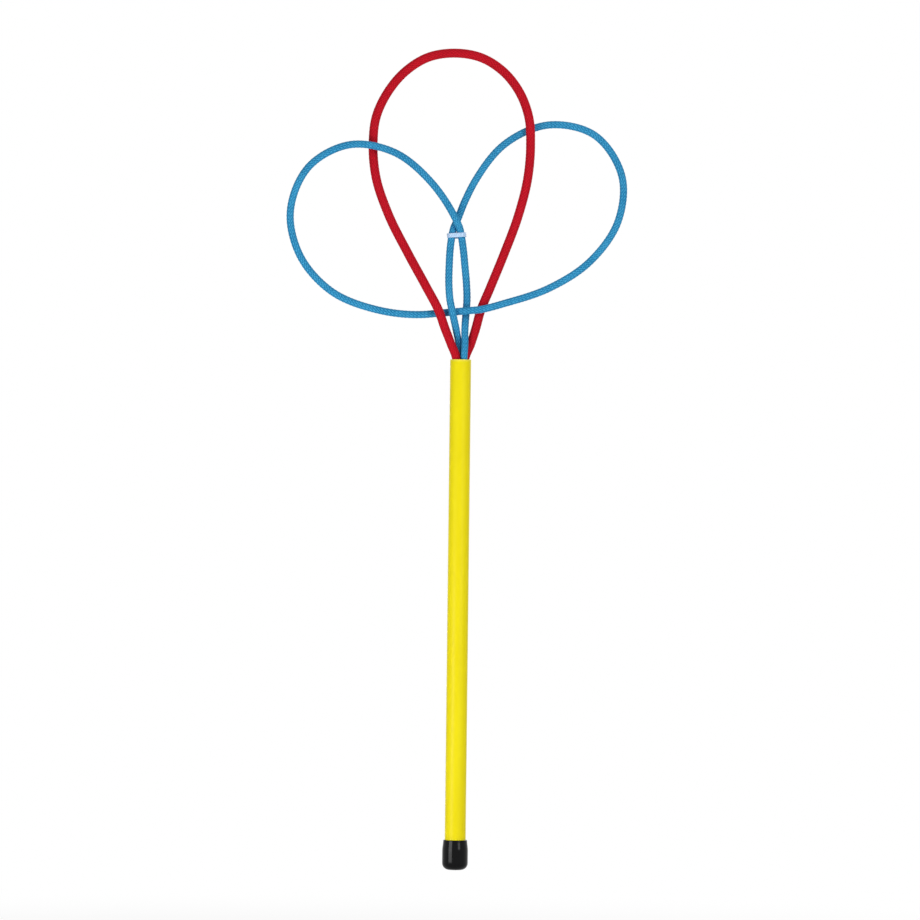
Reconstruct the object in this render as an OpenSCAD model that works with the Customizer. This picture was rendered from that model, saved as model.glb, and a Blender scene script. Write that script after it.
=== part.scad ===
// Bubble wand: a long tube handle with a cap on its foot, and three sprung cord loops at its head.
// One red cord makes a tall teardrop. One blue cord makes a lobe on each side and is woven through it.
// Each cord is a braided sleeve over a springy core, so the loops stand up by themselves.
// The origin is on the tube's axis, in the middle of the hand's hold. +Z runs up to the loops.
// -Y is the front, and +X is on the right as seen from the front.

/* [Handle] */
// Length of tube that shows between the cap and the mouth
handle_show = 305; // [200:1:420]
// Wall of the tube
tube_wall = 0.5; // [0.4:0.05:1.5]
// Height of the middle of the hand's hold above the cap
grip_up = 60; // [40:1:120]

/* [Plug] */
// Depth of the plug's top face below the mouth
plug_recess = 6; // [3:0.5:15]
// Depth of the holes in the plug that hold the cores
plug_hole_depth = 14; // [6:0.5:30]
// Thickness of the plug below its holes
plug_floor = 4; // [2:0.5:10]

/* [End cap] */
// Length of the cap, from its foot to its lip
cap_len = 19; // [14:0.5:40]
// Wall of the cap along its straight part
cap_wall = 1.5; // [1:0.1:3]
// Wall of the cap at its lip
cap_lip_wall = 0.9; // [0.6:0.1:1]
// Thickness of the cap under the end of the tube
cap_floor = 3; // [1.5:0.1:5]
// Radius of the rounded edge round the cap's foot
cap_round = 4.4; // [1:0.1:5]
// Height of the part that narrows towards the lip
cap_taper_h = 7; // [3:0.5:9]

/* [Cords] */
// Outside of the red cord
red_d = 5.6; // [4.4:0.1:7]
// Outside of the blue cord
blue_d = 4.4; // [4:0.1:6]
// Diameter of the springy core inside each cord
core_d = 2.4; // [1.2:0.1:3]
// Height above the mouth up to which the cords flex when the loops sway
neck_h = 10; // [8:0.5:13]

/* [Red loop] */
// Height of the red loop above the mouth, to the middle of the cord
red_h = 194.5; // [150:0.5:260]
// Width of the red loop, between the middles of the cord
red_w = 100; // [80:1:130]
// How far the top of the red loop leans to the left of the tube's axis
red_lean = 7.2; // [0:0.2:15]

/* [Blue lobes] */
// How far each lobe reaches sideways, to the middle of the cord
lobe_reach = 106; // [85:1:130]
// Height of each lobe from the lower crossing to its top, to the middle of the cord
lobe_h = 112; // [95:1:135]
// Height of the lower crossing above the mouth
cross_h = 30.8; // [26:0.2:36]
// Offset of the lobes' shared foot to the right of the tube's axis
foot_shift = 1.7; // [0:0.1:3]
// Turn of the two lobes in their own plane, right side up
lobe_tilt = 5.25; // [0:0.25:8]
// Widest distance between the middles of the two uprights
upright_w = 11.2; // [9:0.2:14]

/* [Tie] */
// Height of the tie's strap along the cords
tie_w = 2.8; // [2:0.1:5]
// Thickness of the tie's strap
tie_t = 0.5; // [0.4:0.1:1.5]
// Width of the tie's head
tie_head_w = 4.6; // [3.6:0.1:7]
// Depth of the tie's head behind the strap
tie_head_t = 2.6; // [1.5:0.1:5]
// Slant of the tie, right side up
tie_tilt = 4; // [0:0.5:8]

/* [Hidden] */
$fn = 64;

// Clearances and one overrun for cuts
overrun = 1;
cord_gap = 0.1;
mouth_gap = 0.05;
plug_gap = 0.05;
core_gap = 0.15;
core_end_gap = 0.5;
cap_gap = 0.05;
seat_gap = 0.2;
weave_gap = 0.5;
strand_gap = 0.7;
tie_gap = 0.6;
tail_len = 1.6;
tie_head_lip = 0.6;

// Sides of a swept cord, and the distance between its rings in diameters, round the loops and at the neck
cord_sides = 10;
ring_step_share = 2.2;
flex_step_share = 0.5;

// The two red and two blue legs fill the mouth as a cross, turned a little about the tube's axis.
mouth_turn = 33;
leg_sum = (red_d + blue_d) / 2 + cord_gap;
leg_diff = (red_d - blue_d) / 2;
red_ring = (sqrt(2 * leg_sum * leg_sum - leg_diff * leg_diff) - leg_diff) / 2;
blue_ring = red_ring + leg_diff;
red_leg = [red_ring * cos(mouth_turn), red_ring * sin(mouth_turn)];
blue_leg = [blue_ring * sin(mouth_turn), -blue_ring * cos(mouth_turn)];

// The tube goes round the legs, and the cap goes round the tube.
tube_bore = 2 * (red_ring + red_d / 2 + mouth_gap);
tube_od = tube_bore + 2 * tube_wall;
cap_bore = tube_od + 2 * cap_gap;
cap_od = cap_bore + 2 * cap_wall;
cap_lip_od = cap_bore + 2 * cap_lip_wall;
cap_lip_z = -grip_up;
cap_foot_z = cap_lip_z - cap_len;
tube_foot_z = cap_foot_z + cap_floor + seat_gap;
mouth_z = handle_show - grip_up;
plug_top_z = mouth_z - plug_recess;
plug_len = plug_hole_depth + plug_floor;
core_foot_z = plug_top_z - plug_hole_depth + core_end_gap;
sleeve_bore = core_d + 2 * core_gap;

// Where cords cross, the depths of the two share the distance that they need.
red_cross_share = 0.4;
red_top_share = 0.75;
blue_cross_share = 0.63;
slant_share = 1.1;
mixed_depth = (red_d + blue_d) / 2 + weave_gap;
red_weave = red_cross_share * mixed_depth;
lobe_weave = mixed_depth - red_top_share * red_weave;
blue_depth = slant_share * (blue_d + weave_gap);
upright_weave = blue_cross_share * blue_depth;
strand_weave = blue_depth - upright_weave;
leg_cross_weave = mixed_depth - red_weave;
pinch_weave = (blue_d + weave_gap) / 2;

// Left half of the red loop, from the neck up: shares of half its width, its height and its depth
red_shares = [
    [0.20, 0.105, -0.95], [0.26, 0.155, -1.0], [0.405, 0.235, -0.95], [0.61, 0.345, -0.5],
    [0.83, 0.475, 0.2], [0.965, 0.595, 0.65], [1.0, 0.70, 0.75], [0.97, 0.79, 0.75],
    [0.842, 0.87, 0.65], [0.622, 0.94, 0.4], [0.345, 0.985, 0.2]
];
red_neck_shares = [2.3, 1.1];
lean_height_share = 0.667;
// Near its top the loop leans back by a share of that, between two heights
back_share = 0.19;
back_heights = [0.72, 0.95];

// Right upright, from the neck up to the tie: shares of half its spread, the pinch's height and its depth
upright_shares = [
    [0.46, 0.195, -0.2], [0.77, 0.34, 1.0], [0.96, 0.43, 0.91], [1.0, 0.545, 0.65],
    [0.89, 0.68, 0.35], [0.75, 0.795, 0.15]
];
blue_neck_shares = [0.95, 0.74];
tie_height_share = 0.90;
twist_shares = [0.62, 0.955, 0.68];

// Each lobe, from the pinch round to its foot: shares of its reach, its height and its depth
right_lobe_shares = [
    [0.055, 0.615, 0.66], [0.14, 0.745, 0.75], [0.33, 0.93, 0.95], [0.60, 1.015, 1.0],
    [0.86, 0.94, 0.85], [1.01, 0.68, 0.35], [0.965, 0.44, -0.1], [0.78, 0.225, -0.45],
    [0.52, 0.09, -0.7], [0.25, 0.025, -0.8]
];
left_lobe_shares = [
    [0.055, 0.625, 0.66], [0.14, 0.75, 0.75], [0.345, 0.93, 0.95], [0.60, 0.99, 1.0],
    [0.85, 0.89, 0.85], [0.99, 0.63, 0.35], [0.955, 0.395, -0.1], [0.785, 0.175, -0.45],
    [0.52, 0.048, -0.7], [0.25, 0.0, -0.8]
];
pinch_height_share = 0.51;
upright_cross_share = 0.77;
leg_cross_share = 0.26;

function unit(v) = v / norm(v);

function reversed(list) = [for (i = [len(list) - 1 : -1 : 0]) list[i]];

// An offset in the lobes' own plane, turned about the front-to-back axis
function tilted(p) = [
    p[0] * cos(lobe_tilt) - p[2] * sin(lobe_tilt),
    p[1],
    p[0] * sin(lobe_tilt) + p[2] * cos(lobe_tilt)
];

// Rises smoothly from 0 to 1 as s does
function eased(s) = let (t = max(0, min(1, s))) t * t * (3 - 2 * t);

// Sideways place of the red loop's middle line: it eases over to the left, and a little way back near the top
function lean_x(up) =
    let (h = up / red_h, back = eased((h - back_heights[0]) / (back_heights[1] - back_heights[0])))
    red_lean * (back_share * back - eased(h / lean_height_share));

// A point of the red loop, on the left where side is 1 and on the right where it is -1
function red_at(s, side) = [
    lean_x(s[1] * red_h) - side * s[0] * red_w / 2,
    side * s[2] * red_weave,
    mouth_z + s[1] * red_h
];

foot = [foot_shift, 0, mouth_z + cross_h];
pinch = foot + tilted([0, 0, pinch_height_share * lobe_h]);
pinch_h = pinch[2] - mouth_z;

// Sideways place of the line midway between the uprights: it leans left less and less, up to the pinch
function middle_x(up) =
    let (s = up / pinch_h)
    foot_shift + (pinch[0] - foot_shift) * s * (2 - s);

function upright_at(s, side) = [
    middle_x(s[1] * pinch_h) + side * s[0] * upright_w / 2,
    side * s[2] * upright_weave,
    mouth_z + s[1] * pinch_h
];

function lobe_at(s, side) =
    foot + tilted([side * s[0] * lobe_reach, side * s[2] * lobe_weave, s[1] * lobe_h]);

// The strand that joins the lobes passes the lower crossing a little to the left of the lobes' foot.
crossing = foot + tilted([middle_x(cross_h) - foot_shift, 0, 0]);

function crossing_at(out, depth, side) = crossing + tilted([side * out, -side * depth, 0]);

tie_half = blue_d / 2 + strand_gap;
tie_at = [middle_x(tie_height_share * pinch_h), 0, mouth_z + tie_height_share * pinch_h];

function twist_at(side) = [
    middle_x(twist_shares[1] * pinch_h) + side * twist_shares[0] * tie_half,
    -side * twist_shares[2] * pinch_weave,
    mouth_z + twist_shares[1] * pinch_h
];

// A leg's straight end, from the plug's holes up to the mouth, and then its neck
function leg_foot(leg, neck) = [
    [leg[0], leg[1], core_foot_z],
    [leg[0], leg[1], plug_top_z],
    [leg[0], leg[1], (plug_top_z + mouth_z) / 2],
    [leg[0], leg[1], mouth_z],
    [neck[0], neck[1], mouth_z + neck_h]
];

// Where the red legs, and the blue legs about their middle line, pass the top of the neck
red_neck = [red_neck_shares[0] * red_leg[0], red_neck_shares[1] * red_leg[1]];
blue_neck = [blue_neck_shares[0] * blue_leg[0], blue_neck_shares[1] * blue_leg[1]];

// One side of the red loop, from the plug up to just short of its top
function red_rise(side) = concat(
    leg_foot(-side * red_leg, -side * red_neck),
    [for (s = red_shares) red_at(s, side)]
);

red_stations = concat(red_rise(1), [red_at([0, 1, 0], 1)], reversed(red_rise(-1)));

// One upright with the crossing stretch above it, from the plug up to the pinch
function blue_rise(side) = concat(
    leg_foot(side * blue_leg, [middle_x(neck_h), 0] + side * blue_neck),
    [for (s = upright_shares) upright_at(s, side)],
    [tie_at + [side * tie_half, 0, 0], twist_at(side), pinch + [0, -side * pinch_weave, 0]]
);

// One lobe, from the pinch round to the lower crossing
function blue_lobe(side) = concat(
    [for (s = side > 0 ? right_lobe_shares : left_lobe_shares) lobe_at(s, side)],
    [
        crossing_at(leg_cross_share * red_w / 2, leg_cross_weave, side),
        crossing_at(upright_cross_share * upright_w / 2, strand_weave, side)
    ]
);

blue_stations = concat(
    blue_rise(-1), blue_lobe(1), [crossing], reversed(blue_lobe(-1)), reversed(blue_rise(1))
);

// Stations at which the plug's top face and the neck cut a cord
plug_station = 1;
neck_station = 4;

// Direction of the curve at a station: the mean of the two chords there, the shorter one counting more
function heading(p, i) =
    i == 0 ? unit(p[1] - p[0])
    : i == len(p) - 1 ? unit(p[i] - p[i - 1])
    : let (a = norm(p[i] - p[i - 1]), b = norm(p[i + 1] - p[i]))
      ((p[i] - p[i - 1]) * b / a + (p[i + 1] - p[i]) * a / b) / (a + b);

// Place and direction on the smooth curve between stations i and i + 1, where u runs from 0 to 1
function on_curve(p, i, u) =
    let (
        d = norm(p[i + 1] - p[i]), m = d * heading(p, i), n = d * heading(p, i + 1),
        q = p[i + 1] - p[i], v = 1 - u
    )
    [
        p[i] + q * u * u * (3 - 2 * u) + m * u * v * v - n * u * u * v,
        unit(q * 6 * u * v + m * v * (1 - 3 * u) + n * u * (3 * u - 2))
    ];

// Number of rings between station i and the next one: closer together where the cord flexes
function ring_count(p, i, cord_d) =
    let (
        j = min(i, len(p) - 2 - i),
        flexes = j >= plug_station && j < neck_station,
        step = cord_d * (flexes ? flex_step_share : ring_step_share)
    )
    max(1, ceil(norm(p[i + 1] - p[i]) / step));

// Rings along the curve from one station to a later one
function run(p, first, last, cord_d) = concat(
    [
        for (i = [first : last - 1])
            let (n = ring_count(p, i, cord_d))
                for (k = [0 : n - 1]) on_curve(p, i, k / n)
    ],
    [on_curve(p, last - 1, 1)]
);

// Points of a ring of radius r about each place of a run, turned so that its first point is at the back
function ring_points(rings, r) = [
    for (q = rings)
        let (t = q[1], n = unit([0, 1, 0] - t[1] * t), m = cross(t, n))
            for (k = [0 : cord_sides - 1])
                let (a = 360 * k / cord_sides) q[0] + r * (cos(a) * n + sin(a) * m)
];

// Triangles of the skin over rings 0 to count - 1, facing out, or in where it lines a bore
function skin(count, base, inward) = [
    for (i = [0 : count - 2], k = [0 : cord_sides - 1])
        let (
            a = base + i * cord_sides + k,
            b = base + i * cord_sides + (k + 1) % cord_sides,
            c = a + cord_sides,
            d = b + cord_sides
        )
        each inward ? [[a, b, c], [b, d, c]] : [[a, c, b], [b, c, d]]
];

// A solid rod along a run
module rod(rings, r) {
    last = (len(rings) - 1) * cord_sides;
    ends = [
        for (k = [1 : cord_sides - 2]) each [[0, k, k + 1], [last, last + k + 1, last + k]]
    ];
    polyhedron(points = ring_points(rings, r), faces = concat(skin(len(rings), 0, false), ends));
}

// A hollow sleeve along a run
module sleeve(rings, r_out, r_in) {
    inner = len(rings) * cord_sides;
    last = inner - cord_sides;
    ends = [
        for (k = [0 : cord_sides - 1])
            let (j = (k + 1) % cord_sides)
            each [
                [k, j, inner + k], [j, inner + j, inner + k],
                [last + j, last + k, inner + last + k], [last + j, inner + last + k, inner + last + j]
            ]
    ];
    polyhedron(
        points = concat(ring_points(rings, r_out), ring_points(rings, r_in)),
        faces = concat(skin(len(rings), 0, false), skin(len(rings), inner, true), ends)
    );
}

// The stretch of sleeve that goes round the loops, from neck to neck
module loop_sleeve(stations, cord_d) {
    last = len(stations) - 1;
    sleeve(run(stations, neck_station, last - neck_station, cord_d), cord_d / 2, sleeve_bore / 2);
}

// The two short ends of a sleeve, from the plug's top face up to the neck
module leg_ends(stations, cord_d) {
    last = len(stations) - 1;
    sleeve(run(stations, plug_station, neck_station, cord_d), cord_d / 2, sleeve_bore / 2);
    sleeve(run(stations, last - neck_station, last - plug_station, cord_d), cord_d / 2, sleeve_bore / 2);
}

// The whole core of a cord, with the same rings as the sleeve that it fills
module core(stations, cord_d) {
    rod(run(stations, 0, len(stations) - 1, cord_d), core_d / 2);
}

module handle_tube() {
    color("gold")
        translate([0, 0, tube_foot_z])
            difference() {
                cylinder(d = tube_od, h = mouth_z - tube_foot_z);
                translate([0, 0, -overrun])
                    cylinder(d = tube_bore, h = mouth_z - tube_foot_z + 2 * overrun);
            }
}

module core_hole(leg) {
    translate([leg[0], leg[1], plug_top_z - plug_hole_depth])
        cylinder(d = sleeve_bore, h = plug_hole_depth + overrun);
}

module cord_plug() {
    color("ivory")
        difference() {
            translate([0, 0, plug_top_z - plug_len])
                cylinder(d = tube_bore - 2 * plug_gap, h = plug_len);
            for (leg = [red_leg, -red_leg, blue_leg, -blue_leg])
                core_hole(leg);
        }
}

module end_cap() {
    color("black")
        translate([0, 0, cap_foot_z])
            rotate_extrude()
                difference() {
                    union() {
                        square([cap_od / 2 - cap_round, cap_round]);
                        translate([cap_od / 2 - cap_round, cap_round])
                            intersection() {
                                circle(r = cap_round);
                                translate([0, -cap_round])
                                    square([cap_round, cap_round]);
                            }
                        translate([0, cap_round])
                            square([cap_od / 2, cap_len - cap_taper_h - cap_round]);
                        translate([0, cap_len - cap_taper_h])
                            polygon([
                                [0, 0], [cap_od / 2, 0], [cap_lip_od / 2, cap_taper_h], [0, cap_taper_h]
                            ]);
                    }
                    translate([0, cap_floor])
                        square([cap_bore / 2, cap_len]);
                }
}

module red_loop() {
    color("crimson") loop_sleeve(red_stations, red_d);
}

module red_core() {
    color("whitesmoke") core(red_stations, red_d);
}

module red_leg_ends() {
    color("firebrick") leg_ends(red_stations, red_d);
}

module blue_loop() {
    color("deepskyblue") loop_sleeve(blue_stations, blue_d);
}

module blue_core() {
    color("whitesmoke") core(blue_stations, blue_d);
}

module blue_leg_ends() {
    color("steelblue") leg_ends(blue_stations, blue_d);
}

// A flat outline with round ends about the two uprights
module stadium(r) {
    square([2 * tie_half, 2 * r], center = true);
    for (side = [-1, 1])
        translate([side * tie_half, 0])
            circle(r = r);
}

module crotch_tie() {
    r_in = blue_d / 2 + tie_gap;
    r_out = r_in + tie_t;
    color("aliceblue")
        translate(tie_at)
            rotate([0, -tie_tilt, 0]) {
                linear_extrude(height = tie_w, center = true)
                    difference() {
                        stadium(r_out);
                        stadium(r_in);
                    }
                translate([-tie_head_w / 2, r_out - tie_t / 2, -tie_w / 2 - tie_head_lip])
                    cube([tie_head_w, tie_head_t, tie_w + 2 * tie_head_lip]);
                translate([tie_head_w / 2 - overrun, r_out + tie_head_t - 2 * tie_t, -tie_w / 2])
                    cube([tail_len + overrun, tie_t, tie_w]);
            }
}

handle_tube();
cord_plug();
end_cap();
red_loop();
red_core();
red_leg_ends();
blue_loop();
blue_core();
blue_leg_ends();
crotch_tie();
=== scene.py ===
# %% [markdown]
# # A bubble wand, piece by piece
# The wand is a painted tube with a soft cap on its foot and a head of springy braided cords. The cords
# make one tall red loop and two blue lobes, woven through each other. The exact solids come from the
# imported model, so this script only dresses them: it never moves or resizes anything, and each new
# surface is worked out in the same frame, in metres, with +Z along the tube and -Y towards the front.

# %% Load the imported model
import math

import bpy
import numpy as np
from mathutils import Matrix, Vector


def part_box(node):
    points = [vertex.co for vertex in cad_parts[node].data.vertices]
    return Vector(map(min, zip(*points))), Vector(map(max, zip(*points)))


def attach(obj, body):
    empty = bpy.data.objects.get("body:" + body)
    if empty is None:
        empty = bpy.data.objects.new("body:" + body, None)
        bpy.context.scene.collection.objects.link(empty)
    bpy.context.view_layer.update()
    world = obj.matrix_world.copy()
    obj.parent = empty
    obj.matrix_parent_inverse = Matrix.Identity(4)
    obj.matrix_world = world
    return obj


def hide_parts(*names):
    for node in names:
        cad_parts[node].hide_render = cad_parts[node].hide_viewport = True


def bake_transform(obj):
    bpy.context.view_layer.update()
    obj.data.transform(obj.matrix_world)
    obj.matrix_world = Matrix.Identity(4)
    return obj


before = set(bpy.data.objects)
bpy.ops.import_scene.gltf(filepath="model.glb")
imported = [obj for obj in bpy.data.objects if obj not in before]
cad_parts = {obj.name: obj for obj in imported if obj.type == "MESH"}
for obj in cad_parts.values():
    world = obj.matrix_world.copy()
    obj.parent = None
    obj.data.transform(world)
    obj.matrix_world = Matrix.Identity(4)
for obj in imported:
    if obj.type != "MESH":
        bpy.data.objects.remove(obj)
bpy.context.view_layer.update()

MM = 0.001
tube_low, tube_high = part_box("handle_tube")
cap_low, cap_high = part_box("end_cap")
MOUTH_Z = tube_high.z
PLUG_TOP_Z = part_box("cord_plug")[1].z
CORE_FOOT_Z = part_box("red_core")[0].z


# %% [markdown]
# ## The camera
# The photograph looks straight at the front of the wand from far away, so the lens is long and the view
# is level. A camera could be turned by hand until it fits. Here its axes are written down instead: it
# looks along +Y, and it is rolled by the small angle at which the tube leans in the picture.

# %% Camera
PIXEL_MM = 0.635
FRAME_PIXELS = 920
TUBE_LEAN_DEG = 0.657
CAMERA_DISTANCE = 3.5
LOOK_AT = Vector((0.0003, 0, 0.1812))

lean = math.radians(TUBE_LEAN_DEG)
right = Vector((math.cos(lean), 0, math.sin(lean)))
up = Vector((-math.sin(lean), 0, math.cos(lean)))
camera_data = bpy.data.cameras.new("camera")
camera_data.lens = camera_data.sensor_width * CAMERA_DISTANCE / (FRAME_PIXELS * PIXEL_MM * MM)
camera_data.dof.use_dof = False
camera = bpy.data.objects.new("camera", camera_data)
bpy.context.scene.collection.objects.link(camera)
turn = Matrix((right, up, right.cross(up))).transposed()
away = turn @ Vector((0, 0, CAMERA_DISTANCE))
camera.matrix_world = Matrix.Translation(LOOK_AT + away) @ turn.to_4x4()
bpy.context.scene.camera = camera
bpy.context.scene.view_settings.view_transform = "Standard"
print("camera lens", round(camera_data.lens, 1), "mm, at", [round(x, 3) for x in camera.location])

# %% [markdown]
# ## Helpers for meshes and finishes
# A new surface is a grid of points held in numpy arrays. Blender only needs the points and the corner
# numbers of each face, so one small function turns a grid into faces and another one makes the object.
# The object stays at the origin and its place is in its mesh, so a pattern on Object coordinates stays
# where it is. A finish is a tree of shader nodes. It could be drawn by hand in the shader editor, but a
# few helpers that add and link nodes keep each finish to some lines that can be read and changed.


# %% Faces of a grid
def grid_faces(rows, columns, start=0, inward=False):
    """Quads of a grid that closes on itself round its columns, as point numbers.

    Corner k of row i is joined to corner k + 1 of the same row and to the same two corners of row i + 1.
    """
    i, k = np.meshgrid(np.arange(rows - 1), np.arange(columns), indexing="ij")
    after = (k + 1) % columns
    this_row, next_row = i * columns, (i + 1) * columns
    quads = np.stack([this_row + k, this_row + after, next_row + after, next_row + k], -1)
    quads = quads.reshape(-1, 4) + start
    return quads[:, ::-1] if inward else quads


def ring_faces(rows, columns, inward=False):
    """Quads of a grid that closes on itself both ways: after its last row comes the first one again."""
    return grid_faces(rows + 1, columns, inward=inward) % (rows * columns)


def end_faces(rows, columns, inward=False):
    """The two flat faces that close a grid at its first and at its last row."""
    around = np.arange(columns)
    ends = np.stack([around[::-1], (rows - 1) * columns + around])
    return ends[:, ::-1] if inward else ends


print("a closed prism of 2 rows and 6 columns has", len(grid_faces(2, 6)) + len(end_faces(2, 6)), "faces")


# %% Pieces
def make_piece(name, points, faces, finish, flat_faces=0):
    """A mesh object from points and faces. The last flat_faces faces are shaded flat, the rest smooth."""
    mesh = bpy.data.meshes.new(name)
    mesh.from_pydata(np.asarray(points, float).tolist(), [], [list(map(int, f)) for f in faces])
    smooth = np.ones(len(faces), bool)
    smooth[len(faces) - flat_faces:] = False
    mesh.polygons.foreach_set("use_smooth", smooth)
    mesh.materials.append(finish)
    mesh.update()
    piece = bpy.data.objects.new(name, mesh)
    bpy.context.scene.collection.objects.link(piece)
    return piece


def report(piece):
    """Prints a piece's size and its triangles: each face has two fewer of them than it has corners."""
    corners = np.zeros(len(piece.data.polygons), np.int32)
    piece.data.polygons.foreach_get("loop_total", corners)
    size = [round(d / MM, 1) for d in piece.dimensions]
    print(f"{piece.name}: {(corners - 2).sum()} triangles, {size} mm")


# %% Colours and shader nodes
def paint(hex_code):
    """Linear colour of a hex code as it is seen on a screen: ((c + 0.055) / 1.055) to the power 2.4."""
    seen = np.array([int(hex_code[k:k + 2], 16) for k in (1, 3, 5)]) / 255
    linear = np.where(seen <= 0.04045, seen / 12.92, ((seen + 0.055) / 1.055) ** 2.4)
    return (*linear.tolist(), 1.0)


def node(tree, kind, inputs=None, **properties):
    """Adds a shader node. Each input takes a value, or another node's output, which is linked to it."""
    made = tree.nodes.new(kind)
    for key, value in properties.items():
        setattr(made, key, value)
    for key, value in (inputs or {}).items():
        if isinstance(value, bpy.types.NodeSocket):
            tree.links.new(value, made.inputs[key])
        else:
            made.inputs[key].default_value = value
    return made


def socket(shader, name):
    """A shader's input by its name in small letters: base_color is "Base Color"."""
    return shader.inputs[name.replace("_", " ").title().replace("Ior", "IOR")]


def new_finish(name, **constants):
    """A material, its node tree, its Principled shader and the place on the object, in metres.

    Constants go straight onto the shader's sockets.
    """
    material = bpy.data.materials.new(name)
    material.use_nodes = True
    tree = material.node_tree
    shader = tree.nodes["Principled BSDF"]
    for key, value in constants.items():
        socket(shader, key).default_value = value
    return material, tree, shader, node(tree, "ShaderNodeTexCoord").outputs["Object"]


def feed(tree, shader, **varied):
    """Links values that vary over the surface to the shader's sockets."""
    for key, value in varied.items():
        tree.links.new(value, socket(shader, key))


print("a mid grey on a screen is", round(paint("#808080")[0], 3), "of the light of white")


# %% Arithmetic and patterns of nodes
def math_node(tree, operation, *values):
    """One step of arithmetic on values or sockets."""
    return node(tree, "ShaderNodeMath", dict(enumerate(values)), operation=operation).outputs[0]


def spread(tree, value, low=0.0, high=1.0, start=0.0, stop=1.0, **properties):
    """Goes from low to high while a value goes from start to stop, and stays there beyond them."""
    settings = {"Value": value, "From Min": start, "From Max": stop, "To Min": low, "To Max": high}
    return node(tree, "ShaderNodeMapRange", settings, **properties).outputs["Result"]


def mixed(tree, factor, first, second):
    """A mix of two colours by a factor. The two colours are inputs 6 and 7 of the node."""
    made = node(tree, "ShaderNodeMix", {"Factor": factor, 6: first, 7: second}, data_type="RGBA")
    return made.outputs[2]


def ramp(tree, factor, stops):
    """A colour ramp with the given stops, each a place from 0 to 1 and a hex code."""
    made = node(tree, "ShaderNodeValToRGB", {"Fac": factor})
    elements = made.color_ramp.elements
    while len(elements) < len(stops):
        elements.new(1.0)
    for element, (place, hex_code) in zip(elements, stops):
        element.position = place
        element.color = paint(hex_code)
    return made.outputs["Color"]


TONE_FROM, TONE_TO = 0.3, 0.7


def two_tones(tree, factor, dark, pale):
    """A colour from dark to pale by a noise, whose values mostly lie between the two stops."""
    return ramp(tree, factor, [(TONE_FROM, dark), (TONE_TO, pale)])


def noise(tree, vector, scale, detail=3.0, roughness=0.55):
    """Smooth random values from 0 to 1, scale of them to the metre where the vector is in metres."""
    settings = {"Vector": vector, "Scale": scale, "Detail": detail, "Roughness": roughness}
    return node(tree, "ShaderNodeTexNoise", settings).outputs["Fac"]


def drawn_out(tree, vector, scale):
    """A place with its axes scaled: a pattern on it is drawn out along the axis of the least scale."""
    return node(tree, "ShaderNodeMapping", {"Vector": vector, "Scale": scale}).outputs[0]


def level_of(tree, place):
    """Height of a place above the origin."""
    return node(tree, "ShaderNodeSeparateXYZ", {0: place}).outputs[2]


def clouded(tree, shader, cloud, tones, gloss):
    """Lets one noise vary the colour between two tones and the roughness between two values."""
    feed(tree, shader, base_color=two_tones(tree, cloud, *tones), roughness=spread(tree, cloud, *gloss))


def bumped(tree, shader, height, distance, strength):
    """Lets a height, in shares of distance in metres, tilt the surface's normal."""
    settings = {"Height": height, "Distance": distance, "Strength": strength}
    feed(tree, shader, normal=node(tree, "ShaderNodeBump", settings).outputs["Normal"])


# %% [markdown]
# ## The studio
# A pale floor and soft light suit a small bright toy. The floor could be a plain plane, but its far
# edge would draw a line across the picture, so its finish fades to the white of the surroundings with
# distance. Both the white of the world and that fade show only to the camera and in reflections, so
# they put no light on the object. A low lamp on the left and a small one on the right give the two
# upright streaks that show on the black cap.

# %% Floor and surroundings
FLOOR_DROP = 90 * MM
FLOOR_CIRCLES = np.array([0.02, 0.5, 2.0, 14.0])
FLOOR_SPOKES = 64
FADE_FROM, FADE_TO = 0.12, 1.0
FADE_LEAST = 0.45
FLOOR_GREY = 0.90
ROOM_LIGHT = 0.30
WHITE = (1, 1, 1, 1)


def seen_directly(tree):
    """1 for rays from the camera and for rays that mirror or pass through something, 0 for soft bounces."""
    rays = node(tree, "ShaderNodeLightPath").outputs
    seen = math_node(tree, "MAXIMUM", rays["Is Camera Ray"], rays["Is Glossy Ray"])
    return math_node(tree, "MAXIMUM", seen, rays["Is Transmission Ray"])


spokes = np.linspace(0, 2 * np.pi, FLOOR_SPOKES, endpoint=False)
disc_x = np.outer(FLOOR_CIRCLES, np.cos(spokes)).ravel()
disc_y = np.outer(FLOOR_CIRCLES, np.sin(spokes)).ravel()
disc = np.column_stack([disc_x, disc_y, np.full(len(disc_x), cap_low.z - FLOOR_DROP)])
floor_rings = grid_faces(len(FLOOR_CIRCLES), FLOOR_SPOKES, inward=True)
floor_middle = np.arange(FLOOR_SPOKES)

floor_finish, tree, shader, place = new_finish(
    "floor_finish", base_color=(FLOOR_GREY, FLOOR_GREY, FLOOR_GREY, 1),
    roughness=0.9, specular_ior_level=0.1
)
reach = node(tree, "ShaderNodeVectorMath", {0: place}, operation="LENGTH").outputs["Value"]
fade = spread(tree, reach, FADE_LEAST, 1.0, FADE_FROM, FADE_TO, interpolation_type="SMOOTHSTEP")
fade = math_node(tree, "MULTIPLY", fade, seen_directly(tree))
glow = node(tree, "ShaderNodeEmission", {"Color": WHITE, "Strength": 1.0}).outputs[0]
faded = node(tree, "ShaderNodeMixShader", {0: fade, 1: shader.outputs[0], 2: glow})
tree.links.new(faded.outputs[0], tree.nodes["Material Output"].inputs["Surface"])
floor = make_piece("floor", disc, [*floor_rings, floor_middle], floor_finish)
report(floor)

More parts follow.
